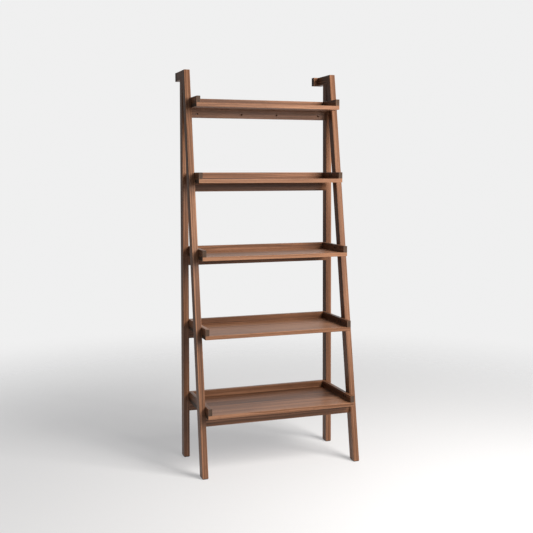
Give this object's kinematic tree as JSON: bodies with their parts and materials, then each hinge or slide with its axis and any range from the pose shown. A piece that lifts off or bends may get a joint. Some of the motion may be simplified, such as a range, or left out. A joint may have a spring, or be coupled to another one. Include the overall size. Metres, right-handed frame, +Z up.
{
  "type": "ladder shelf",
  "caption": "Tall open ladder shelf in solid wood: upright rear posts, sloping front legs and tray shelves that grow deeper downwards, with wall blocks on top.",
  "frame": {"origin": "on the floor, at the middle of the whole shelf's length and depth", "axes": "+Z up; +Y towards the wall, square to the shelves' long edges; +X along the shelves, to the right as one faces the shelf"},
  "size_m": [0.768, 0.4696, 1.85],
  "materials": {
    "posts": "oiled walnut, satin",
    "legs": "oiled walnut, satin",
    "head": "oiled walnut, satin",
    "boards": "oiled walnut, satin",
    "rails": "oiled walnut, satin",
    "dowels": "raw beech",
    "glides": "matte black",
    "inserts": "plain",
    "screws": "black oxide"
  },
  "bodies": {
    "root": {"left_rear_post": "posts", "left_front_leg": "legs", "left_head_arm": "head", "left_wall_block": "head", "right_rear_post": "posts", "right_front_leg": "legs", "right_head_arm": "head", "right_wall_block": "head", "shelf_board_1": "boards", "back_rail_1": "rails", "left_side_rail_1": "rails", "right_side_rail_1": "rails", "shelf_board_2": "boards", "back_rail_2": "rails", "left_side_rail_2": "rails", "right_side_rail_2": "rails", "shelf_board_3": "boards", "back_rail_3": "rails", "left_side_rail_3": "rails", "right_side_rail_3": "rails", "shelf_board_4": "boards", "back_rail_4": "rails", "left_side_rail_4": "rails", "right_side_rail_4": "rails", "shelf_board_5": "boards", "back_rail_5": "rails", "left_side_rail_5": "rails", "right_side_rail_5": "rails", "front_apron": "rails", "foot_glides": "glides", "head_dowels": "dowels", "back_rail_dowels": "dowels", "apron_dowels": "dowels", "tray_dowels": "dowels", "leg_inserts": "inserts", "tray_screws": "screws"}
  },
  "joints": []
}
